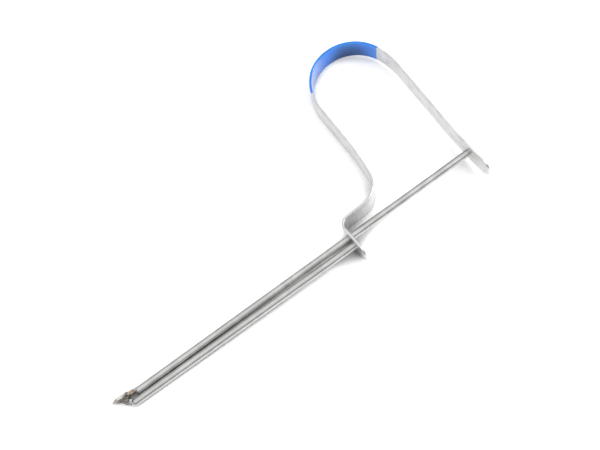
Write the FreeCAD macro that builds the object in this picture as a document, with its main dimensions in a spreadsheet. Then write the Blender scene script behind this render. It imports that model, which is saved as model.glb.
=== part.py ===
import FreeCAD, Part
import math
import os

import Sketcher

# Ear hook with a spring-bow handle and a finger at the tip that bends when the bow is squeezed.
# Millimetres. The drive rod runs along X, with the tip at -X and the handle at +X. The bow rises
# along +Y. The hook lies on its side, so the bow strip stands on its lower edge, at Z = 0.
# The origin is on that edge, where the drive rod passes through the foot plate above it.

SIZES = {
    # The one strip that makes the foot plate, the bow and the drive leg
    "strip_width": 7.6,
    "strip_gauge": 0.8,
    "strip_edge_chamfer": 0.15,
    "foot_drop": 9.3,
    "plate_rise": 1.8,
    "heel_radius": 3.4,
    "ramp_run": 5.5,
    "knee_radius": 9.2,
    "knee_angle": 79.5,
    "shin_radius": 114.0,
    "bow_leg_angle": 88.3,
    "bow_height": 59.5,
    "near_shoulder_radius": 19.0,
    "near_shoulder_angle": 39.6,
    "far_shoulder_radius": 30.4,
    "far_shoulder_angle": 18.5,
    "drive_leg_lean": 3.3,
    "lean_out_radius": 179.0,
    "handle_reach": 48.5,
    "seat_half": 2.4,
    "flare_radius": 70.0,
    "drive_leg_drop": 10.1,
    # The two rods and how they are riveted to the strip
    "rod_diameter": 2.5,
    "rod_hole_gap": 0.1,
    "fixed_rod_reach": 85.4,
    "rod_pitch_at_plate": 3.05,
    "rod_pitch_at_tip": 2.65,
    "tenon_diameter": 1.6,
    "rivet_head_diameter": 2.3,
    "rivet_head_rise": 0.35,
    # The flattened ends of the rods, which carry the pins
    "tab_gauge": 0.9,
    "tab_radius": 0.65,
    "tab_overlap": 0.8,
    "drive_tab_root_offset": 0.6,
    "pivot_setout": 0.9,
    "pivot_offset": 0.75,
    "drive_tab_run": 2.4,
    "drive_pin_lag": 1.4,
    "drive_pin_offset": 0.85,
    # The finger and its two pins
    "finger_rest_angle": 3.2,
    "finger_length": 3.97,
    "finger_gauge": 2.4,
    "finger_tip_gauge": 0.9,
    "finger_tip_radius": 0.12,
    "finger_tip_side": 1.74,
    "root_radius": 0.78,
    "back_reach": 2.2,
    "back_side": 1.88,
    "back_radius": 0.48,
    "knuckle_radius": 0.75,
    "neck_reach": 0.85,
    "neck_side": 1.7,
    "neck_radius": 0.4,
    "knuckle_seat_radius": 0.95,
    "knuckle_seat_depth": 0.35,
    "taper_start": 2.3,
    "fork_depth": 1.0,
    "fork_gap": 0.06,
    "pin_diameter": 0.7,
    "pin_gap": 0.03,
    "drive_slot_gap": 0.13,
    "pin_head_diameter": 1.1,
    "pin_head_rise": 0.12,
    "pin_head_gap": 0.04,
}

V = FreeCAD.Vector
X_AXIS = V(1, 0, 0)
Z_AXIS = V(0, 0, 1)

# Two heights closer than this are one
TOUCH = 0.001

# A right angle, in degrees
SQUARE = 90.0

# How far the pivot, the drive pin and the drive rod's dome lie from the origin, towards the tip
PIVOT_REACH = "( fixed_rod_reach + pivot_setout )"
DRIVE_PIN_REACH = f"( {PIVOT_REACH} - drive_pin_lag )"
DRIVE_ROD_REACH = f"( {DRIVE_PIN_REACH} - drive_tab_run )"

# Sine and cosine of the angle by which the fixed rod runs towards the drive rod at the tip
TOE_SINE = "( ( rod_pitch_at_tip - rod_pitch_at_plate ) / fixed_rod_reach )"
TOE_COSINE = f"( ( 1 - {TOE_SINE} ^ 2 ) ^ 0.5 )"

doc = FreeCAD.newDocument("ear_hook")

sheet = doc.addObject("Spreadsheet::Sheet", "sizes")
for row, (alias, number) in enumerate(SIZES.items(), start=1):
    sheet.set(f"A{row}", alias)
    sheet.set(f"B{row}", str(number))
    sheet.setAlias(f"B{row}", alias)
doc.recompute()


def size(formula):
    """Value of a formula in the sheet's names, as in "rod_diameter / 2"."""
    return sheet.evalExpression(linked(formula))


def linked(formula):
    """The same formula, with each name pointing at its cell in the sheet."""
    words = formula.replace("(", "( ").replace(")", " )").split()
    return " ".join(f"sizes.{word}" if word in SIZES else word for word in words)


def bind(thing, **formulas):
    """Tie properties of an object to formulas in the sheet's names."""
    for name, formula in formulas.items():
        thing.setExpression(name.replace("__", "."), linked(formula))


# Sketch helpers


def hold(sketch, formula, kind, *where):
    """Add a dimension that follows a formula. Angles are given in degrees."""
    number = size(formula)
    value = math.radians(number) if kind == "Angle" else number
    index = sketch.addConstraint(Sketcher.Constraint(kind, *where, value))
    sketch.setExpression(f"Constraints[{index}]", linked(formula))


def hold_point(sketch, edge, end, x_formula, y_formula):
    """Dimension one point of an edge from the sketch's origin."""
    hold(sketch, x_formula, "DistanceX", -1, 1, edge, end)
    hold(sketch, y_formula, "DistanceY", -1, 1, edge, end)


def arc_between(start, end, radius, turn):
    """Arc from start to end that turns left (turn = 1) or right (turn = -1)."""
    chord = end - start
    height = math.sqrt(max(radius**2 - (chord.Length / 2) ** 2, 0.0))
    side = V(-chord.y, chord.x, 0).normalize() * (height * turn)
    centre = start + chord * 0.5 + side
    angles = [math.atan2(point.y - centre.y, point.x - centre.x) for point in (start, end)]
    circle = Part.Circle(centre, Z_AXIS, radius)
    return Part.ArcOfCircle(circle, *(angles if turn > 0 else reversed(angles)))


def outline(sketch, corners):
    """Closed outline. A corner is (x, y), or (x, y, radius, turn) where an arc leaves it."""
    points = [V(size(corner[0]), size(corner[1]), 0) for corner in corners]
    starts = []
    for index, corner in enumerate(corners):
        begin, finish = points[index], points[(index + 1) % len(points)]
        if len(corner) == 4:
            sketch.addGeometry(arc_between(begin, finish, size(corner[2]), corner[3]))
            starts.append((1, 2) if corner[3] > 0 else (2, 1))
        else:
            sketch.addGeometry(Part.LineSegment(begin, finish))
            starts.append((1, 2))
    for index, corner in enumerate(corners):
        following = (index + 1) % len(corners)
        joint = (index, starts[index][1], following, starts[following][0])
        sketch.addConstraint(Sketcher.Constraint("Coincident", *joint))
        hold_point(sketch, index, starts[index][0], corner[0], corner[1])
        if len(corner) == 4:
            hold(sketch, corner[2], "Radius", index)


def belt(sketch, circles):
    """Outline of a belt drawn tight round circles (x, y, radius), listed counter-clockwise."""
    centres = [V(size(x), size(y), 0) for x, y, _ in circles]
    radii = [size(radius) for _, _, radius in circles]
    count = len(circles)
    leaving, arriving = [0.0] * count, [0.0] * count
    for index in range(count):
        following = (index + 1) % count
        span = centres[following] - centres[index]
        angle = math.atan2(span.y, span.x)
        angle -= math.acos((radii[index] - radii[following]) / span.Length)
        leaving[index] = arriving[following] = angle
    for index in range(count):
        circle = Part.Circle(centres[index], Z_AXIS, radii[index])
        sketch.addGeometry(Part.ArcOfCircle(circle, arriving[index], leaving[index]))
    for index in range(count):
        following = (index + 1) % count
        ends = [
            centres[at] + V(math.cos(leaving[index]), math.sin(leaving[index]), 0) * radii[at]
            for at in (index, following)
        ]
        sketch.addGeometry(Part.LineSegment(*ends))
    for index in range(count):
        following = (index + 1) % count
        sketch.addConstraint(Sketcher.Constraint("Tangent", index, 2, count + index, 1))
        sketch.addConstraint(Sketcher.Constraint("Tangent", count + index, 2, following, 1))
        hold(sketch, circles[index][2], "Radius", index)
        hold_point(sketch, index, 3, circles[index][0], circles[index][1])


def ring(sketch, x_formula, y_formula, diameter_formula):
    """A full circle."""
    centre = V(size(x_formula), size(y_formula), 0)
    edge = sketch.addGeometry(Part.Circle(centre, Z_AXIS, size(diameter_formula) / 2))
    hold(sketch, diameter_formula, "Diameter", edge)
    hold_point(sketch, edge, 3, x_formula, y_formula)


def sketch_in(body, name, role):
    """A sketch on one of the body's own origin planes."""
    plane = next(item for item in body.Origin.OriginFeatures if item.Role == role)
    sketch = body.newObject("Sketcher::SketchObject", name)
    sketch.AttachmentSupport = [(plane, "")]
    sketch.MapMode = "FlatFace"
    return sketch


def free_sketch(name, turn=None):
    """A sketch outside a body, flat in XY or stood up by a rotation."""
    sketch = doc.addObject("Sketcher::SketchObject", name)
    if turn is not None:
        sketch.Placement = FreeCAD.Placement(V(), turn)
    return sketch


def extrude(name, base, formula, symmetric=False):
    """Straight extrusion of a flat outline along its normal."""
    solid = doc.addObject("Part::Extrusion", name)
    solid.Base = base
    solid.DirMode = "Normal"
    solid.Solid = True
    solid.Symmetric = symmetric
    bind(solid, LengthFwd=formula)
    return solid


def cylinder(name, axis, radius_formula, length_formula, **place):
    """Cylinder that starts at a place given by formulas and runs along an axis."""
    post = doc.addObject("Part::Cylinder", name)
    post.Placement = FreeCAD.Placement(V(), FreeCAD.Rotation(Z_AXIS, axis))
    bind(post, Radius=radius_formula, Height=length_formula)
    bind(post, **{f"Placement__Base__{letter}": formula for letter, formula in place.items()})
    return post


def cut(name, base, tool):
    """Base with the tool taken away."""
    result = doc.addObject("Part::Cut", name)
    result.Base = base
    result.Tool = tool
    return result


# Spring bow: one flat strip, bent on its flat, seen along its edge in this path


class BendPath:
    """The strip's middle line as straights and bends, each tangent to the last."""

    def __init__(self, start, heading):
        self.point = start
        self.heading = heading
        self.edges = []

    def along(self, heading=None):
        angle = math.radians(self.heading if heading is None else heading)
        return V(math.cos(angle), math.sin(angle), 0)

    def straight(self, length):
        end = self.point + self.along() * length
        self.edges.append((Part.LineSegment(self.point, end), 1, 2))
        self.point = end

    def bend(self, radius, angle):
        """Turn left by a positive angle or right by a negative one, in degrees."""
        end = self.point + bend_step(self.heading, radius, angle)
        turn = math.copysign(1, angle)
        ends = (1, 2) if turn > 0 else (2, 1)
        centre_side = self.along(self.heading + SQUARE * turn) * radius
        circle = Part.Circle(self.point + centre_side, Z_AXIS, radius)
        first = math.radians(self.heading - SQUARE * turn)
        last = first + math.radians(angle)
        self.edges.append((Part.ArcOfCircle(circle, min(first, last), max(first, last)), *ends))
        self.heading += angle
        self.point = end


def bend_step(heading, radius, angle):
    """How far a bend moves the path's end."""
    turn = math.copysign(1, angle)
    first = math.radians(heading - SQUARE * turn)
    last = first + math.radians(angle)
    return V(math.cos(last) - math.cos(first), math.sin(last) - math.sin(first), 0) * radius


def solve_three(columns, target):
    """The three factors that add three columns up to the target."""
    first, second, third = columns
    whole = first.dot(second.cross(third))
    return (
        target.dot(second.cross(third)) / whole,
        first.dot(target.cross(third)) / whole,
        first.dot(second.cross(target)) / whole,
    )


def bow_edges():
    """Edges of the strip's path, with its bow closed to the height and reach asked for."""
    path = BendPath(V(0, -size("foot_drop"), 0), SQUARE)
    path.straight(size("foot_drop + plate_rise"))
    path.bend(size("heel_radius"), -SQUARE)
    path.straight(size("ramp_run"))
    path.bend(size("knee_radius"), size("knee_angle"))
    path.bend(size("shin_radius"), size("bow_leg_angle - knee_angle"))

    leg = path.heading
    near = leg - size("near_shoulder_angle")
    far = size("far_shoulder_angle - drive_leg_lean") - SQUARE
    down = -size("drive_leg_lean") - SQUARE
    near_step = bend_step(leg, size("near_shoulder_radius"), near - leg)
    far_step = bend_step(far, size("far_shoulder_radius"), down - far)
    out_step = bend_step(down, size("lean_out_radius"), -SQUARE - down)
    crown_step = bend_step(near, 1.0, far - near)
    crown_rise = 1 - math.cos(math.radians(near))

    # Each vector is (across, up to the drive leg's seat, up to the crown)
    leg_way, down_way = path.along(leg), path.along(down)
    columns = (
        V(leg_way.x, leg_way.y, leg_way.y),
        V(crown_step.x, crown_step.y, crown_rise),
        V(down_way.x, down_way.y, 0),
    )
    set_so_far = path.point + near_step
    ends = set_so_far + far_step + out_step
    target = V(size("handle_reach"), size("seat_half"), size("bow_height"))
    target -= V(ends.x, ends.y, set_so_far.y)
    leg_run, crown_radius, drive_run = solve_three(columns, target)

    path.straight(leg_run)
    path.bend(size("near_shoulder_radius"), near - leg)
    path.bend(crown_radius, far - near)
    path.bend(size("far_shoulder_radius"), down - far)
    path.straight(drive_run)
    path.bend(size("lean_out_radius"), -SQUARE - down)
    path.straight(size("2 * seat_half"))
    flare = math.degrees(math.asin(size("( drive_leg_drop - seat_half ) / flare_radius")))
    path.bend(size("flare_radius"), flare)
    return path.edges


def bow_path():
    """Sketch of the strip's middle line."""
    sketch = free_sketch("strip_path")
    edges = bow_edges()
    sketch.addGeometry([edge[0] for edge in edges], False)
    tongue, heel, ramp, knee, shin, _, near, crown, far, _, lean_out, seat, flare = range(len(edges))
    begin = [edge[1] for edge in edges]
    finish = [edge[2] for edge in edges]
    for index in range(len(edges) - 1):
        joint = (index, finish[index], index + 1, begin[index + 1])
        sketch.addConstraint(Sketcher.Constraint("Tangent", *joint))
    sketch.addConstraint(Sketcher.Constraint("PointOnObject", tongue, 1, -2))
    for edge in (tongue, seat):
        sketch.addConstraint(Sketcher.Constraint("Vertical", edge))
    sketch.addConstraint(Sketcher.Constraint("Horizontal", ramp))
    hold(sketch, "foot_drop", "DistanceY", tongue, 1, -1, 1)
    hold(sketch, "plate_rise", "DistanceY", -1, 1, tongue, 2)
    hold(sketch, "ramp_run", "DistanceX", ramp, 1, ramp, 2)
    for edge, radius in (
        (heel, "heel_radius"),
        (knee, "knee_radius"),
        (shin, "shin_radius"),
        (near, "near_shoulder_radius"),
        (far, "far_shoulder_radius"),
        (lean_out, "lean_out_radius"),
        (flare, "flare_radius"),
    ):
        hold(sketch, radius, "Radius", edge)
    for edge, angle in (
        (knee, "knee_angle"),
        (shin, "bow_leg_angle - knee_angle"),
        (near, "near_shoulder_angle"),
        (far, "far_shoulder_angle"),
        (lean_out, "drive_leg_lean"),
    ):
        hold(sketch, angle, "Angle", edge)
    hold(sketch, "handle_reach", "DistanceX", -1, 1, seat, 1)
    hold(sketch, "seat_half", "DistanceY", -1, 1, seat, 1)
    hold(sketch, "2 * seat_half", "DistanceY", seat, 2, seat, 1)
    hold(sketch, "drive_leg_drop", "DistanceY", flare, finish[flare], -1, 1)

    # A line that touches the crown sets the bow's height
    top, reach = size("bow_height"), size("handle_reach")
    height = sketch.addGeometry(Part.LineSegment(V(reach / 2, top, 0), V(reach, top, 0)), True)
    sketch.addConstraint(Sketcher.Constraint("Horizontal", height))
    sketch.addConstraint(Sketcher.Constraint("Tangent", height, crown))
    hold_point(sketch, height, 1, "handle_reach / 2", "bow_height")
    hold(sketch, "handle_reach", "DistanceX", -1, 1, height, 2)
    return sketch


def end_rounder(name, reach, drop):
    """What is cut away to round one end of the strip: a block less a round end."""
    block = doc.addObject("Part::Box", f"{name}_block")
    bind(
        block,
        Length="4 * strip_width",
        Width="strip_width",
        Height="2 * strip_width",
        Placement__Base__x=f"{reach} - 2 * strip_width",
        Placement__Base__y=f"strip_width / -2 - {drop}",
        Placement__Base__z="strip_width / -2",
    )
    disc = cylinder(
        f"{name}_disc",
        X_AXIS,
        "strip_width / 2",
        "6 * strip_width",
        x=f"{reach} - 3 * strip_width",
        y=f"strip_width / 2 - {drop}",
        z="strip_width / 2",
    )
    return cut(f"{name}_rounder", block, disc)


def rim_edges(shape):
    """Numbers of the strip's long edges, which lie in its two flat sides."""
    sides = (0.0, size("strip_width"))
    return [
        number
        for number, edge in enumerate(shape.Edges, start=1)
        if any(abs(edge.BoundBox.ZMin - z) + abs(edge.BoundBox.ZMax - z) < TOUCH for z in sides)
    ]


def spring_bow():
    """The bent strip, with its rounded ends, rod hole and rivet holes."""
    band = doc.addObject("Part::Offset2D", "strip_band")
    band.Source = bow_path()
    band.Mode = "Pipe"
    band.Join = "Arc"
    band.Fill = True
    bind(band, Value="strip_gauge / 2")
    solid = extrude("strip_blank", band, "strip_width")
    ends = (("foot_end", "0", "foot_drop"), ("drive_end", "handle_reach", "drive_leg_drop"))
    for name, reach, drop in ends:
        solid = cut(f"strip_to_{name}", solid, end_rounder(name, reach, drop))
    holes = (
        ("rod_hole", "rod_diameter / 2 + rod_hole_gap", "0", "0"),
        ("fixed_rivet_hole", "tenon_diameter / 2", "0", "0 - rod_pitch_at_plate"),
        ("drive_rivet_hole", "tenon_diameter / 2", "handle_reach", "0"),
    )
    for name, radius, x, y in holes:
        place = {"x": f"{x} - 2 * strip_gauge", "y": y, "z": "strip_width / 2"}
        drill = cylinder(f"{name}_drill", X_AXIS, radius, "4 * strip_gauge", **place)
        solid = cut(f"strip_with_{name}", solid, drill)
    doc.recompute()
    bow = doc.addObject("Part::Chamfer", "spring_bow")
    bow.Base = solid
    bevel = size("strip_edge_chamfer")
    bow.Edges = [(number, bevel, bevel) for number in rim_edges(solid.Shape)]
    return bow


# Rods: turned from wire, domed at the tip, with a tenon riveted through the strip


def rod(name, reach, seat, outside):
    """A rod along X from its domed tip to its rivet head, centred on its own axis."""
    body = doc.addObject("PartDesign::Body", name)
    profile = sketch_in(body, f"{name}_profile", "XY_Plane")
    head = "rivet_head_diameter / 2"
    # The head is a shallow dome, so its radius follows from its width and rise
    head_round = "( ( rivet_head_diameter / 2 ) ^ 2 + rivet_head_rise ^ 2 ) / ( 2 * rivet_head_rise )"
    outline(
        profile,
        [
            (f"0 - {reach}", "0", "rod_diameter / 2", -1),
            (f"rod_diameter / 2 - {reach}", "rod_diameter / 2"),
            (seat, "rod_diameter / 2"),
            (seat, "tenon_diameter / 2"),
            (outside, "tenon_diameter / 2"),
            (outside, head, head_round, -1),
            (f"{outside} + rivet_head_rise", "0"),
        ],
    )
    turned = body.newObject("PartDesign::Revolution", f"{name}_turned")
    turned.Profile = profile
    turned.ReferenceAxis = (profile, ["H_Axis"])
    turned.Angle = 360
    doc.recompute()
    return body


def add_tab(body, name, end_x, end_y, root_x, root_y):
    """Flattened end of a rod, from inside its dome out to a round end that carries a pin."""
    plan = sketch_in(body, f"{name}_plan", "XY_Plane")
    belt(plan, [(end_x, end_y, "tab_radius"), (root_x, root_y, "tab_radius")])
    pad = body.newObject("PartDesign::Pad", name)
    pad.Profile = plan
    pad.Midplane = True
    bind(pad, Length="tab_gauge")
    doc.recompute()
    eye = sketch_in(body, f"{name}_eye_plan", "XY_Plane")
    ring(eye, end_x, end_y, "pin_diameter")
    pocket = body.newObject("PartDesign::Pocket", f"{name}_eye")
    pocket.Profile = eye
    pocket.Midplane = True
    bind(pocket, Length="rod_diameter")
    before = pad.Shape.Volume
    doc.recompute()
    assert pocket.Shape.Volume < before - 0.1, f"{name} has no eye"


def drive_rod():
    """The rod that the drive leg pushes: it slides through the foot plate."""
    seat, outside = "handle_reach - strip_gauge / 2", "handle_reach + strip_gauge / 2"
    body = rod("drive_rod", DRIVE_ROD_REACH, seat, outside)
    bind(body, Placement__Base__z="strip_width / 2")
    add_tab(
        body,
        "drive_tab",
        f"0 - {DRIVE_PIN_REACH}",
        "drive_pin_offset",
        f"tab_radius + tab_overlap - {DRIVE_ROD_REACH}",
        "drive_tab_root_offset",
    )
    return body


def fixed_rod():
    """The rod that is riveted to the foot plate and carries the finger's pivot."""
    body = rod("fixed_rod", "fixed_rod_reach", "strip_gauge / -2", "strip_gauge / 2")
    bind(
        body,
        Placement__Base__y="0 - rod_pitch_at_plate",
        Placement__Base__z="strip_width / 2",
    )
    body.Placement.Rotation = FreeCAD.Rotation(Z_AXIS, 0)
    bind(body, Placement__Rotation__Angle=f"asin( {TOE_SINE} )")

    # The pivot's place in the fixed rod's own, slightly turned, axes
    aside = "( rod_pitch_at_plate - pivot_offset )"
    add_tab(
        body,
        "pivot_tab",
        f"{aside} * {TOE_SINE} - {PIVOT_REACH} * {TOE_COSINE}",
        f"{aside} * {TOE_COSINE} + {PIVOT_REACH} * {TOE_SINE}",
        "tab_radius + tab_overlap - fixed_rod_reach",
        "0",
    )
    return body


# Finger: a pointed blade with a knuckle at its side, forked at the root to take both tabs


# Half the finger's gauge at the knuckle
KNUCKLE_FACE = "( finger_gauge / 2 - knuckle_seat_depth )"

PIVOT_PLACE = {
    "Placement__Base__x": f"0 - {PIVOT_REACH}",
    "Placement__Base__y": "0 - pivot_offset",
    "Placement__Base__z": "strip_width / 2",
}


def hook_finger():
    """The finger. Its own X axis runs from the pivot towards its tip."""
    lag, rise = "drive_pin_lag", "( drive_pin_offset + pivot_offset )"
    angle = "( finger_rest_angle * 1 deg )"
    eye_x = f"{rise} * sin( {angle} ) - {lag} * cos( {angle} )"
    eye_y = f"0 - {lag} * sin( {angle} ) - {rise} * cos( {angle} )"
    tip_x = "finger_length - finger_tip_radius"

    # The blade runs from the drive pin to the tip, beside the pivot
    blade_plan = free_sketch("finger_blade_plan")
    belt(
        blade_plan,
        [
            (eye_x, eye_y, "root_radius"),
            ("back_reach", "0 - back_side", "back_radius"),
            (tip_x, "0 - finger_tip_side", "finger_tip_radius"),
        ],
    )
    knuckle_plan = free_sketch("finger_knuckle_plan")
    belt(
        knuckle_plan,
        [
            ("0", "0", "knuckle_radius"),
            (eye_x, eye_y, "root_radius"),
            ("neck_reach", "0 - neck_side", "neck_radius"),
        ],
    )
    side = free_sketch("finger_side", FreeCAD.Rotation(X_AXIS, SQUARE))
    slot = "( tab_gauge / 2 + fork_gap )"
    back = "-5 * knuckle_radius"
    outline(
        side,
        [
            (back, "finger_gauge / -2"),
            ("taper_start", "finger_gauge / -2"),
            ("finger_length", "finger_tip_gauge / -2"),
            ("finger_length", "finger_tip_gauge / 2"),
            ("taper_start", "finger_gauge / 2"),
            (back, "finger_gauge / 2"),
            (back, slot),
            ("fork_depth", slot),
            ("fork_depth", f"0 - {slot}"),
            (back, f"0 - {slot}"),
        ],
    )
    seen_flat = doc.addObject("Part::Fuse", "finger_from_above")
    seen_flat.Base = extrude("finger_blade", blade_plan, "2 * finger_gauge", symmetric=True)
    seen_flat.Tool = extrude("finger_knuckle", knuckle_plan, "2 * finger_gauge", symmetric=True)
    seen_side = extrude("finger_from_the_side", side, "10 * knuckle_radius", symmetric=True)
    claw = doc.addObject("Part::Common", "finger_claw")
    claw.Base = seen_flat
    claw.Tool = seen_side

    bore = "pin_diameter / 2 + pin_gap"
    drill = cylinder("pivot_drill", Z_AXIS, bore, "2 * finger_gauge", z="0 - finger_gauge")
    drilled = cut("finger_with_pivot_hole", claw, drill)
    # Both faces are set back round the pivot, so its heads lie below the blade's faces
    for face, start in (("upper", KNUCKLE_FACE), ("lower", f"0 - finger_gauge - {KNUCKLE_FACE}")):
        mill = cylinder(f"{face}_seat_cutter", Z_AXIS, "knuckle_seat_radius", "finger_gauge", z=start)
        drilled = cut(f"finger_with_{face}_seat", drilled, mill)

    # The drive pin passes the pivot in a straight line, so its slot points at the pivot
    # and ends where the pin comes closest
    slot_plan = free_sketch("drive_slot_plan")
    closest = f"{rise} / ( {lag} ^ 2 + {rise} ^ 2 ) ^ 0.5"
    slot_round = "pin_diameter / 2 + drive_slot_gap"
    belt(
        slot_plan,
        [
            (eye_x, eye_y, slot_round),
            (f"( {eye_x} ) * {closest}", f"( {eye_y} ) * {closest}", slot_round),
        ],
    )
    slot_tool = extrude("drive_slot_cutter", slot_plan, "2 * finger_gauge", symmetric=True)
    finger = cut("hook_finger", drilled, slot_tool)
    finger.Placement.Rotation = FreeCAD.Rotation(Z_AXIS, 180)
    bind(finger, **PIVOT_PLACE)
    bind(finger, Placement__Rotation__Angle="180 - finger_rest_angle")
    return finger


def pin(name, half_grip, **place):
    """A rivet pin along Z with a low domed head at each end, to hold twice the half grip."""
    body = doc.addObject("PartDesign::Body", name)
    profile = sketch_in(body, f"{name}_profile", "XZ_Plane")
    shank, head = "pin_diameter / 2", "pin_head_diameter / 2"
    under = f"( {half_grip} + pin_head_gap )"
    head_round = "( ( pin_head_diameter / 2 ) ^ 2 + pin_head_rise ^ 2 ) / ( 2 * pin_head_rise )"
    outline(
        profile,
        [
            ("0", f"0 - {under} - pin_head_rise", head_round, 1),
            (head, f"0 - {under}"),
            (shank, f"0 - {under}"),
            (shank, under),
            (head, under, head_round, 1),
            ("0", f"{under} + pin_head_rise"),
        ],
    )
    turned = body.newObject("PartDesign::Revolution", f"{name}_turned")
    turned.Profile = profile
    turned.ReferenceAxis = (profile, ["V_Axis"])
    turned.Angle = 360
    bind(body, **place)
    doc.recompute()
    return body


def write_parts():
    """Check every object, then write each sub-part to its own file."""
    subparts = {
        "spring_bow": spring_bow(),
        "drive_rod": drive_rod(),
        "fixed_rod": fixed_rod(),
        "hook_finger": hook_finger(),
        "pivot_pin": pin("pivot_pin", KNUCKLE_FACE, **PIVOT_PLACE),
        "drive_pin": pin(
            "drive_pin",
            "finger_gauge / 2",
            Placement__Base__x=f"0 - {DRIVE_PIN_REACH}",
            Placement__Base__y="drive_pin_offset",
            Placement__Base__z="strip_width / 2",
        ),
    }
    for label, thing in subparts.items():
        thing.Label = label
    doc.recompute()
    for thing in doc.Objects:
        faults = {"Invalid", "Error"} & set(thing.State)
        assert not faults, f"{thing.Name} is {faults}"
    os.makedirs("parts", exist_ok=True)
    for label, thing in subparts.items():
        shape = thing.Shape
        assert not shape.isNull() and shape.isValid() and shape.Volume > 0, f"{label} is not a sound solid"
        shape.exportStep(f"parts/{label}.step")
        print(f"{label}: {len(shape.Solids)} solid, {shape.Volume:.3f} mm3, box {shape.BoundBox}")


write_parts()
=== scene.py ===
"""Looks of an ear hook: a spring bow with a blue top, two satin rods and a bending finger.

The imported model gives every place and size, in metres: +X along the rods towards the handle,
+Y from the rods towards the bow, +Z up across the strip.
"""

from __future__ import annotations

import logging
import math
from dataclasses import dataclass
from enum import Enum
from typing import Any

import bmesh
import bpy
from mathutils import Matrix, Vector

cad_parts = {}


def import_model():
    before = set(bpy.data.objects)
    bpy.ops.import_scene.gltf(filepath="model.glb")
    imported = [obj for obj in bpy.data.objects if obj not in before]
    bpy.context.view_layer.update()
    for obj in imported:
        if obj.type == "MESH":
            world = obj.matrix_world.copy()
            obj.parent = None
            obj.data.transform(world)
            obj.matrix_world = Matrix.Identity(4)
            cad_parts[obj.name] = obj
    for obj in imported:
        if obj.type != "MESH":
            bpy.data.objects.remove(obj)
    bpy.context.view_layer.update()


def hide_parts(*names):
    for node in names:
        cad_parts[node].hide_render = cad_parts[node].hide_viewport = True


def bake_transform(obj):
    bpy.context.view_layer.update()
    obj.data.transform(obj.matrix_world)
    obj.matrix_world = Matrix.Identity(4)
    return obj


LOG = logging.getLogger("ear_hook")
MM = 0.001
NOISE_MIDDLE = 0.5

Colour = tuple[float, float, float]
Place = tuple[float, float, float]
BLACK: Colour = (0.0, 0.0, 0.0)
WHITE: Colour = (1.0, 1.0, 1.0)


class Signal:
    """A shader value that takes part in Python arithmetic."""

    def __init__(self, web: Web, socket: bpy.types.NodeSocket) -> None:
        """Wrap one output socket of a node web."""
        self.web = web
        self.socket = socket

    def _math(self, operation: str, *values: Any) -> Signal:
        """Add one Math node.

        Args:
            operation: The node's operation.
            values: What feeds its inputs, in order.

        Returns:
            The node's result.
        """
        inputs = dict(enumerate(values))
        node = self.web.add("ShaderNodeMath", {"operation": operation}, inputs)
        return Signal(self.web, node.outputs[0])

    def __add__(self, other: Signal | float) -> Signal:
        """Return self + other."""
        return self._math("ADD", self, other)

    __radd__ = __add__

    def __sub__(self, other: Signal | float) -> Signal:
        """Return self - other."""
        return self._math("SUBTRACT", self, other)

    def __rsub__(self, other: float) -> Signal:
        """Return other - self."""
        return self._math("SUBTRACT", other, self)

    def __mul__(self, other: Signal | float) -> Signal:
        """Return self * other."""
        return self._math("MULTIPLY", self, other)

    def either(self, other: Signal | float) -> Signal:
        """Return the larger of the two."""
        return self._math("MAXIMUM", self, other)

    def step(self, low: float, high: float) -> Signal:
        """Rise smoothly from 0 to 1.

        Args:
            low: Where the rise starts.
            high: Where it ends. It may be the smaller number, and then the value falls.

        Returns:
            A value between 0 and 1.
        """
        settings = {"interpolation_type": "SMOOTHSTEP"}
        inputs = {"Value": self, "From Min": low, "From Max": high}
        node = self.web.add("ShaderNodeMapRange", settings, inputs)
        return Signal(self.web, node.outputs["Result"])


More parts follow.
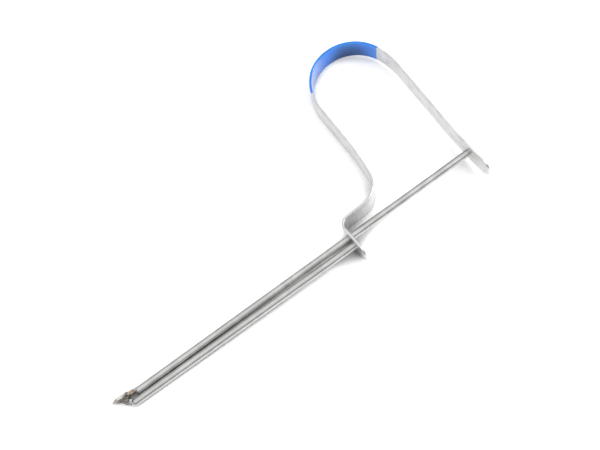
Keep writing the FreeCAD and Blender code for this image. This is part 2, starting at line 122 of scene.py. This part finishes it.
class Web:
    """A node tree that grows one node at a time."""

    def __init__(self, tree: bpy.types.NodeTree) -> None:
        """Empty the tree and keep it."""
        tree.nodes.clear()
        self.tree = tree

    def add(
        self, kind: str, settings: dict | None = None, inputs: dict | None = None
    ) -> bpy.types.Node:
        """Add a node.

        Args:
            kind: Blender's name for the node's type.
            settings: Its own settings, set first. A ramp's stops are (position, colour) pairs.
            inputs: A value, a Signal or a socket for each input, by name or by place.

        Returns:
            The new node.
        """
        node = self.tree.nodes.new(kind)
        for name, value in (settings or {}).items():
            if name == "stops":
                self._set_stops(node.color_ramp, value)
            else:
                setattr(node, name, value)
        for name, value in (inputs or {}).items():
            if isinstance(value, Signal):
                self.tree.links.new(value.socket, node.inputs[name])
            elif isinstance(value, bpy.types.NodeSocket):
                self.tree.links.new(value, node.inputs[name])
            else:
                node.inputs[name].default_value = value
        return node

    @staticmethod
    def _set_stops(ramp: bpy.types.ColorRamp, stops: list[tuple[float, Colour]]) -> None:
        """Give a colour ramp its stops."""
        while len(ramp.elements) < len(stops):
            ramp.elements.new(1.0)
        for element, (position, colour) in zip(ramp.elements, stops):
            element.position = position
            element.color = (*colour, 1.0)

    def place(self) -> tuple[bpy.types.NodeSocket, Signal, Signal, Signal]:
        """Return the object's own coordinates: the vector, and its X, Y and Z."""
        vector = self.add("ShaderNodeTexCoord").outputs["Object"]
        split = self.add("ShaderNodeSeparateXYZ", None, {"Vector": vector})
        return vector, *(Signal(self, output) for output in split.outputs)

    def distance(self, vector: bpy.types.NodeSocket, point: Place) -> Signal:
        """Return how far a place is from a point."""
        node = self.add("ShaderNodeVectorMath", {"operation": "DISTANCE"}, {0: vector, 1: point})
        return Signal(self, node.outputs["Value"])

    def noise(
        self,
        vector: bpy.types.NodeSocket,
        scale: tuple[float, float, float],
        detail: float = 2.0,
        roughness: float = 0.5,
    ) -> Signal:
        """Smooth noise, stretched by a scale along each axis.

        Args:
            vector: Where it is read.
            scale: Cycles per metre along X, Y and Z.
            detail: How many finer layers it has.
            roughness: How strong the finer layers are.

        Returns:
            A value between 0 and 1.
        """
        mapping = self.add("ShaderNodeMapping", None, {"Vector": vector, "Scale": scale})
        inputs = {
            "Vector": mapping.outputs[0],
            "Scale": 1.0,
            "Detail": detail,
            "Roughness": roughness,
        }
        node = self.add("ShaderNodeTexNoise", None, inputs)
        return Signal(self, node.outputs["Fac"])

    def mix(self, factor: Any, first: Any, second: Any) -> bpy.types.NodeSocket:
        """Mix two colours.

        Args:
            factor: How much of the second one shows.
            first: A colour or its socket.
            second: A colour or its socket.

        Returns:
            The mixed colour's socket.
        """
        # The node has inputs for numbers, vectors and colours, and 6 and 7 are its colours
        colours = [(*part, 1.0) if isinstance(part, tuple) else part for part in (first, second)]
        inputs = {"Factor": factor, 6: colours[0], 7: colours[1]}
        return self.add("ShaderNodeMix", {"data_type": "RGBA"}, inputs).outputs[2]


class Grain(Enum):
    """How the surface's grain runs, as cycles per metre along X, Y and Z."""

    ALONG_STRIP = (90.0, 90.0, 5200.0)
    ALONG_ROD = (60.0, 5200.0, 5200.0)
    NONE = (1400.0, 1400.0, 1400.0)


@dataclass(frozen=True)
class SatinSteel:
    """Stainless steel, drawn or rolled and then polished along its length."""

    name: str
    light: Colour
    dark: Colour
    roughness: float
    grain: Grain
    line_depth: float = 0.004 * MM
    line_detail: float = 3.0
    line_roughness: float = 0.65
    line_tone: float = 0.55
    line_gloss: float = 0.12
    bump_strength: float = 0.5
    haze_scale: float = 260.0
    haze_detail: float = 3.0
    haze_gloss: float = 0.16
    tone_steps: tuple[float, float] = (0.3, 0.75)

    def material(self) -> bpy.types.Material:
        """Build the material.

        Returns:
            The finished material.
        """
        material = bpy.data.materials.new(self.name)
        material.use_nodes = True
        web = Web(material.node_tree)
        inputs = self.surface(web)
        inputs["Normal"] = inputs["Normal"].outputs["Normal"]
        shader = web.add("ShaderNodeBsdfPrincipled", None, inputs)
        web.add("ShaderNodeOutputMaterial", None, {"Surface": shader.outputs[0]})
        return material

    def surface(self, web: Web) -> dict[str, Any]:
        """Work out the inputs of the shader.

        Args:
            web: The material's node web.

        Returns:
            The shader's inputs, with the Bump node itself as the Normal.
        """
        vector = web.place()[0]
        lines = web.noise(vector, self.grain.value, self.line_detail, self.line_roughness)
        haze = web.noise(vector, (self.haze_scale,) * 3, self.haze_detail)
        tone = (lines - NOISE_MIDDLE) * self.line_tone + haze
        relief = {"Strength": self.bump_strength, "Distance": self.line_depth, "Height": lines}
        bump = web.add("ShaderNodeBump", None, relief)
        hazy = (haze - NOISE_MIDDLE) * self.haze_gloss
        lined = (lines - NOISE_MIDDLE) * self.line_gloss
        return {
            "Base Color": web.mix(tone.step(*self.tone_steps), self.dark, self.light),
            "Metallic": 1.0,
            "Roughness": self.roughness + hazy + lined,
            "Normal": bump,
        }


@dataclass(frozen=True)
class BlueTopSteel(SatinSteel):
    """Satin steel whose round top is dipped in glossy blue enamel."""

    blue: Colour = (0.006, 0.25, 0.95)
    deep_blue: Colour = (0.005, 0.19, 0.76)
    navy: Colour = (0.003, 0.06, 0.22)
    reflection_blue: Colour = (0.30, 0.46, 0.95)
    lit_edge_blue: Colour = (0.03, 0.30, 0.95)
    shade_spot: Place = (42.0 * MM, 57.5 * MM, 1.0 * MM)
    shade_spot_reach: float = 10.0 * MM
    shade_spot_core: float = 0.2
    shade_spot_strength: float = 0.95
    reflection_start: float = 35.0 * MM
    reflection_end: float = 26.0 * MM
    reflection_strength: float = 0.75
    edge_line: float = 7.45 * MM
    dip_line: float = 50.0 * MM
    dip_slant: float = 0.09
    dip_wave: float = 0.5 * MM
    dip_edge: float = 0.12 * MM
    wave_scale: tuple[float, float, float] = (150.0, 150.0, 210.0)
    cloud_scale: float = 160.0
    cloud_detail: float = 3.0
    cloud_steps: tuple[float, float] = (0.35, 0.7)
    metal_lost: float = 0.1
    roughness_lost: float = 0.35
    coat_roughness: float = 0.06
    coat_ior: float = 1.4

    def surface(self, web: Web) -> dict[str, Any]:
        """Work out the inputs of the shader, blue above the dip line and steel below it."""
        inputs = super().surface(web)
        vector, x, y, z = web.place()
        wave = (web.noise(vector, self.wave_scale) - NOISE_MIDDLE) * self.dip_wave
        height = y + z * self.dip_slant + wave
        dipped = height.step(self.dip_line - self.dip_edge, self.dip_line + self.dip_edge)
        cloud = web.noise(vector, (self.cloud_scale,) * 3, self.cloud_detail)
        enamel = web.mix(cloud.step(*self.cloud_steps), self.deep_blue, self.blue)
        # Painted shade: darkest low on the round top's inner face, where it mirrors the shadow on
        # the table
        span = web.distance(vector, self.shade_spot)
        painted_shade_spot = span.step(self.shade_spot_reach, self.shade_spot_reach * self.shade_spot_core)
        enamel = web.mix(painted_shade_spot * self.shade_spot_strength, enamel, self.navy)
        # Painted reflection: paler blue towards the near leg, where the enamel mirrors the lit
        # table
        painted_reflection = x.step(self.reflection_start, self.reflection_end) * self.reflection_strength
        enamel = web.mix(painted_reflection, enamel, self.reflection_blue)
        # Painted light: brighter blue along the strip's upper edge, where the top face catches
        # the light from above
        painted_lit_edge = z.step(self.edge_line - self.dip_edge, self.edge_line)
        enamel = web.mix(painted_lit_edge, enamel, self.lit_edge_blue)
        inputs["Base Color"] = web.mix(dipped, inputs["Base Color"], enamel)
        inputs["Metallic"] = 1.0 - dipped * self.metal_lost
        inputs["Roughness"] = inputs["Roughness"] * (1.0 - dipped * self.roughness_lost)
        inputs["Coat Weight"] = dipped
        inputs["Coat Roughness"] = self.coat_roughness
        inputs["Coat IOR"] = self.coat_ior
        return inputs


@dataclass(frozen=True)
class BrazedRodSteel(SatinSteel):
    """Satin steel with a heat tint on the flattened end that carries a pin."""

    tint: Colour = (0.52, 0.40, 0.31)
    tint_line: float = -82.3 * MM
    tint_fade: float = 0.25 * MM
    tint_wave: float = 0.5 * MM
    tint_depth: float = 0.6
    tint_roughness: float = 0.12
    cloud_scale: float = 900.0
    cloud_detail: float = 3.0
    cloud_steps: tuple[float, float] = (0.35, 0.7)

    def surface(self, web: Web) -> dict[str, Any]:
        """Work out the inputs of the shader, tinted from the line to the tip."""
        inputs = super().surface(web)
        vector, x, _, _ = web.place()
        cloud = web.noise(vector, (self.cloud_scale,) * 3, self.cloud_detail)
        line = x + (cloud - NOISE_MIDDLE) * self.tint_wave
        tinted = line.step(self.tint_line, self.tint_line - self.tint_fade)
        deep_tint = tuple(part * self.tint_depth for part in self.tint)
        heated = web.mix(cloud.step(*self.cloud_steps), deep_tint, self.tint)
        inputs["Base Color"] = web.mix(tinted, inputs["Base Color"], heated)
        inputs["Roughness"] = inputs["Roughness"] + tinted * self.tint_roughness
        return inputs


@dataclass(frozen=True)
class ShadedTipSteel(SatinSteel):
    """Ground steel, with painted shade round the pins and down the blade's inner side, mottled
    black and brown.
    """

    black: Colour = (0.15, 0.145, 0.12)
    brown: Colour = (0.30, 0.245, 0.185)
    knuckle: Place = (-85.7 * MM, -0.1 * MM, 3.8 * MM)
    knuckle_reach: float = 2.1 * MM
    knuckle_core: float = 0.6
    side_start: float = -84.9 * MM
    side_rise: float = 0.20 * MM
    side_core: float = 0.5
    side_slope: float = 0.197
    shade_gone_at: float = -90.4 * MM
    shade_full_at: float = -87.8 * MM
    painted_shade_strength: float = 0.85
    shaded_roughness: float = 0.2
    ragged_reach: float = 0.35 * MM
    cloud_scale: float = 1300.0
    cloud_detail: float = 4.0
    cloud_roughness: float = 0.6
    cloud_steps: tuple[float, float] = (0.45, 0.62)

    def surface(self, web: Web) -> dict[str, Any]:
        """Work out the inputs of the shader, with painted shade dark at the knuckle and fading
        out to the point.
        """
        inputs = super().surface(web)
        vector, x, y, _ = web.place()
        scale = (self.cloud_scale,) * 3
        cloud = web.noise(vector, scale, self.cloud_detail, self.cloud_roughness)
        ragged = (cloud - NOISE_MIDDLE) * self.ragged_reach
        # How far a place lies above the line of the blade's inner side
        above = y - (self.side_start - x) * self.side_slope + ragged
        side = above.step(self.side_rise, self.side_rise * self.side_core)
        inner = side * x.step(self.shade_gone_at, self.shade_full_at)
        span = web.distance(vector, self.knuckle) + ragged
        joint = span.step(self.knuckle_reach, self.knuckle_reach * self.knuckle_core)
        # Painted shade: dark round the knuckle and along the blade's inner side, where shade
        # falls
        painted_shade = inner.either(joint) * self.painted_shade_strength
        shade_mottle = web.mix(cloud.step(*self.cloud_steps), self.black, self.brown)
        inputs["Base Color"] = web.mix(painted_shade, inputs["Base Color"], shade_mottle)
        inputs["Roughness"] = inputs["Roughness"] + painted_shade * self.shaded_roughness
        return inputs


ROD_LIGHT: Colour = (0.69, 0.69, 0.68)
ROD_DARK: Colour = (0.56, 0.56, 0.55)
STRIP_FINISH = BlueTopSteel(
    name="strip_satin_and_blue",
    light=(0.83, 0.83, 0.82),
    dark=(0.69, 0.69, 0.68),
    roughness=0.30,
    grain=Grain.ALONG_STRIP,
)
DRIVE_ROD_FINISH = BrazedRodSteel(
    name="drive_rod_satin",
    light=ROD_LIGHT,
    dark=ROD_DARK,
    roughness=0.28,
    grain=Grain.ALONG_ROD,
)
FIXED_ROD_FINISH = BrazedRodSteel(
    name="fixed_rod_satin",
    light=ROD_LIGHT,
    dark=ROD_DARK,
    roughness=0.28,
    grain=Grain.ALONG_ROD,
    tint=(0.52, 0.48, 0.52),
    tint_line=-85.3 * MM,
)
FINGER_FINISH = ShadedTipSteel(
    name="finger_ground",
    light=(0.78, 0.77, 0.75),
    dark=(0.64, 0.63, 0.61),
    roughness=0.34,
    grain=Grain.NONE,
)
PIN_FINISH = SatinSteel(
    name="pin_dull",
    light=(0.42, 0.40, 0.36),
    dark=(0.24, 0.225, 0.195),
    roughness=0.42,
    grain=Grain.NONE,
)


def bare_object(name: str, bm: bmesh.types.BMesh) -> bpy.types.Object:
    """Turn a bmesh into an object at the origin.

    Args:
        name: The object's name.
        bm: Its shape, which is freed.

    Returns:
        The new object.
    """
    mesh = bpy.data.meshes.new(name)
    bm.to_mesh(mesh)
    bm.free()
    piece = bpy.data.objects.new(name, mesh)
    bpy.context.scene.collection.objects.link(piece)
    return piece


@dataclass
class SpringBow:
    """The one steel strip: foot plate, S-bend, bow and drive leg."""

    node: str = "spring_bow"
    flex_start: float = 22.0 * MM
    flex_end: float = 47.5 * MM
    merge_gap: float = 0.001 * MM
    sharp_angle: float = math.radians(30.0)

    def build(self) -> bpy.types.Object:
        """Make the strip that shows, from the model's own.

        Returns:
            The strip.
        """
        bm = bmesh.new()
        bm.from_mesh(bpy.data.objects[self.node].data)
        bmesh.ops.remove_doubles(bm, verts=bm.verts, dist=self.merge_gap)
        strip = bare_object("bow_strip", bm)
        strip.data.shade_smooth()
        strip.data.set_sharp_from_angle(angle=self.sharp_angle)
        weighted = strip.modifiers.new("even_light", "WEIGHTED_NORMAL")
        weighted.keep_sharp = True
        strip.data.materials.clear()
        strip.data.materials.append(STRIP_FINISH.material())
        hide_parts(self.node)
        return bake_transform(strip)


@dataclass
class RodsAndTip:
    """The two rods, the finger and the pins, which keep the model's own shapes."""

    finishes: tuple[tuple[SatinSteel, tuple[str, ...]], ...] = (
        (DRIVE_ROD_FINISH, ("drive_rod",)),
        (FIXED_ROD_FINISH, ("fixed_rod",)),
        (FINGER_FINISH, ("hook_finger",)),
        (PIN_FINISH, ("pivot_pin", "drive_pin")),
    )

    def dress(self) -> None:
        """Give each piece its finish."""
        for finish, nodes in self.finishes:
            material = finish.material()
            for node in nodes:
                bpy.data.objects[node].material_slots[0].material = material
                LOG.info("%s: %s", node, finish.name)


@dataclass(frozen=True)
class Softbox:
    """A square lamp with a diffuser, aimed at the hook."""

    name: str
    direction: Place
    distance: float
    size: float
    power: float

    def build(self) -> None:
        """Hang the lamp."""
        lamp = bpy.data.lights.new(self.name, "AREA")
        lamp.shape = "SQUARE"
        lamp.size = self.size
        lamp.energy = self.power
        box = bpy.data.objects.new(self.name, lamp)
        bpy.context.scene.collection.objects.link(box)
        direction = Vector(self.direction).normalized()
        box.location = direction * self.distance
        box.rotation_euler = direction.to_track_quat("Z", "Y").to_euler()


@dataclass
class Stage:
    """White table, lamp, sky and camera."""

    foot_rest: Vector = Vector((0.0, 3.2, 0.0)) * MM
    crown_rest: Vector = Vector((21.7, 50.2, 0.0)) * MM
    tip_rest: Vector = Vector((-84.9, 0.85, 2.44)) * MM
    table_size: float = 3.0
    eye: Vector = Vector((-77.32, -162.32, 370.69)) * MM
    aim: Vector = Vector((-9.59, 13.89, 3.8)) * MM
    roll: float = math.radians(-16.617)
    lens: float = 77.19
    sensor: float = 36.0
    nearest: float = 10.0 * MM
    softbox: Softbox = Softbox(
        name="right", direction=(0.9, -0.3, 0.84), distance=0.9, size=0.26, power=2.6
    )
    sky_axis: Place = (0.05, 0.05, 1.0)
    sky_level: float = 1.06
    sky_steps: tuple[tuple[float, float], ...] = (
        (0.0, 0.18),
        (0.5, 0.24),
        (0.72, 0.38),
        (0.85, 0.72),
        (0.93, 0.98),
        (1.0, 1.0),
    )
    table_white: Colour = (0.92, 0.92, 0.92)
    table_shade: Colour = (0.30, 0.30, 0.325)
    table_glow: float = 0.47
    mirrored_glow: float = 0.8
    contact_samples: int = 8
    contact_reach: float = 10.0 * MM
    contact_steps: tuple[float, float] = (0.32, 0.55)

    def build(self) -> None:
        """Set up all of it."""
        self._table()
        self._sky()
        self.softbox.build()
        self._camera()
        bpy.context.scene.view_settings.view_transform = "Standard"

    def _table(self) -> None:
        """A white table, in the plane through the three points that the hook comes to rest on."""
        to_crown = self.crown_rest - self.foot_rest
        to_tip = self.tip_rest - self.foot_rest
        normal = to_crown.cross(to_tip).normalized()
        normal *= math.copysign(1.0, normal.z)
        turn = Vector((0.0, 0.0, 1.0)).rotation_difference(normal).to_matrix().to_4x4()
        bm = bmesh.new()
        bmesh.ops.create_grid(bm, x_segments=1, y_segments=1, size=self.table_size / 2)
        bmesh.ops.transform(bm, matrix=Matrix.Translation(self.foot_rest) @ turn, verts=bm.verts)
        table = bare_object("table", bm)
        material = bpy.data.materials.new("table_white")
        material.use_nodes = True
        web = Web(material.node_tree)
        path = web.add("ShaderNodeLightPath")
        mirrored = Signal(web, path.outputs["Is Glossy Ray"]) * self.mirrored_glow
        seen = Signal(web, path.outputs["Is Camera Ray"]).either(mirrored)
        # Painted shade: near the hook, by ambient occlusion, the table's colour darkens towards
        # table_shade and its glow fades
        settings = {"samples": self.contact_samples}
        shade = web.add("ShaderNodeAmbientOcclusion", settings, {"Distance": self.contact_reach})
        open_air = Signal(web, shade.outputs["AO"]).step(*self.contact_steps)
        inputs = {
            "Base Color": web.mix(open_air, self.table_shade, self.table_white),
            "Emission Color": web.mix(seen * open_air, BLACK, WHITE),
            "Emission Strength": self.table_glow,
            "Roughness": 1.0,
            "Specular IOR Level": 0.0,
        }
        shader = web.add("ShaderNodeBsdfPrincipled", None, inputs)
        web.add("ShaderNodeOutputMaterial", None, {"Surface": shader.outputs[0]})
        table.data.materials.append(material)

    def _sky(self) -> None:
        """Soft white light from all round, strongest from above."""
        world = bpy.data.worlds.new("studio")
        bpy.context.scene.world = world
        world.use_nodes = True
        web = Web(world.node_tree)
        towards = web.add("ShaderNodeTexCoord").outputs["Generated"]
        axis = Vector(self.sky_axis).normalized()
        dot = web.add("ShaderNodeVectorMath", {"operation": "DOT_PRODUCT"}, {0: towards, 1: axis})
        # From -1 to 1 it becomes 0 to 1, the ramp's own range
        facing = Signal(web, dot.outputs["Value"]) * 0.5 + 0.5
        stops = [(place, (level,) * 3) for place, level in self.sky_steps]
        ramp = web.add("ShaderNodeValToRGB", {"stops": stops}, {0: facing})
        inputs = {"Color": ramp.outputs[0], "Strength": self.sky_level}
        background = web.add("ShaderNodeBackground", None, inputs)
        web.add("ShaderNodeOutputWorld", None, {"Surface": background.outputs[0]})

    def _camera(self) -> None:
        """The photograph's own viewing angle."""
        camera = bpy.data.objects.new("camera", bpy.data.cameras.new("camera"))
        bpy.context.scene.collection.objects.link(camera)
        forward = (self.aim - self.eye).normalized()
        level = forward.cross(Vector((0.0, 0.0, 1.0))).normalized()
        upright = level.cross(forward)
        right = level * math.cos(self.roll) + upright * math.sin(self.roll)
        up = upright * math.cos(self.roll) - level * math.sin(self.roll)
        turn = Matrix((right, up, -forward)).transposed().to_4x4()
        camera.matrix_world = Matrix.Translation(self.eye) @ turn
        camera.data.lens = self.lens
        camera.data.sensor_width = self.sensor
        camera.data.clip_start = self.nearest
        bpy.context.scene.camera = camera


def main() -> None:
    """Load the model, dress it and set the stage."""
    logging.basicConfig(level=logging.INFO)
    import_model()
    strip = SpringBow().build()
    LOG.info("%s: %d faces", strip.name, len(strip.data.polygons))
    RodsAndTip().dress()
    Stage().build()
    bpy.context.view_layer.update()


if __name__ == "__main__":
    main()
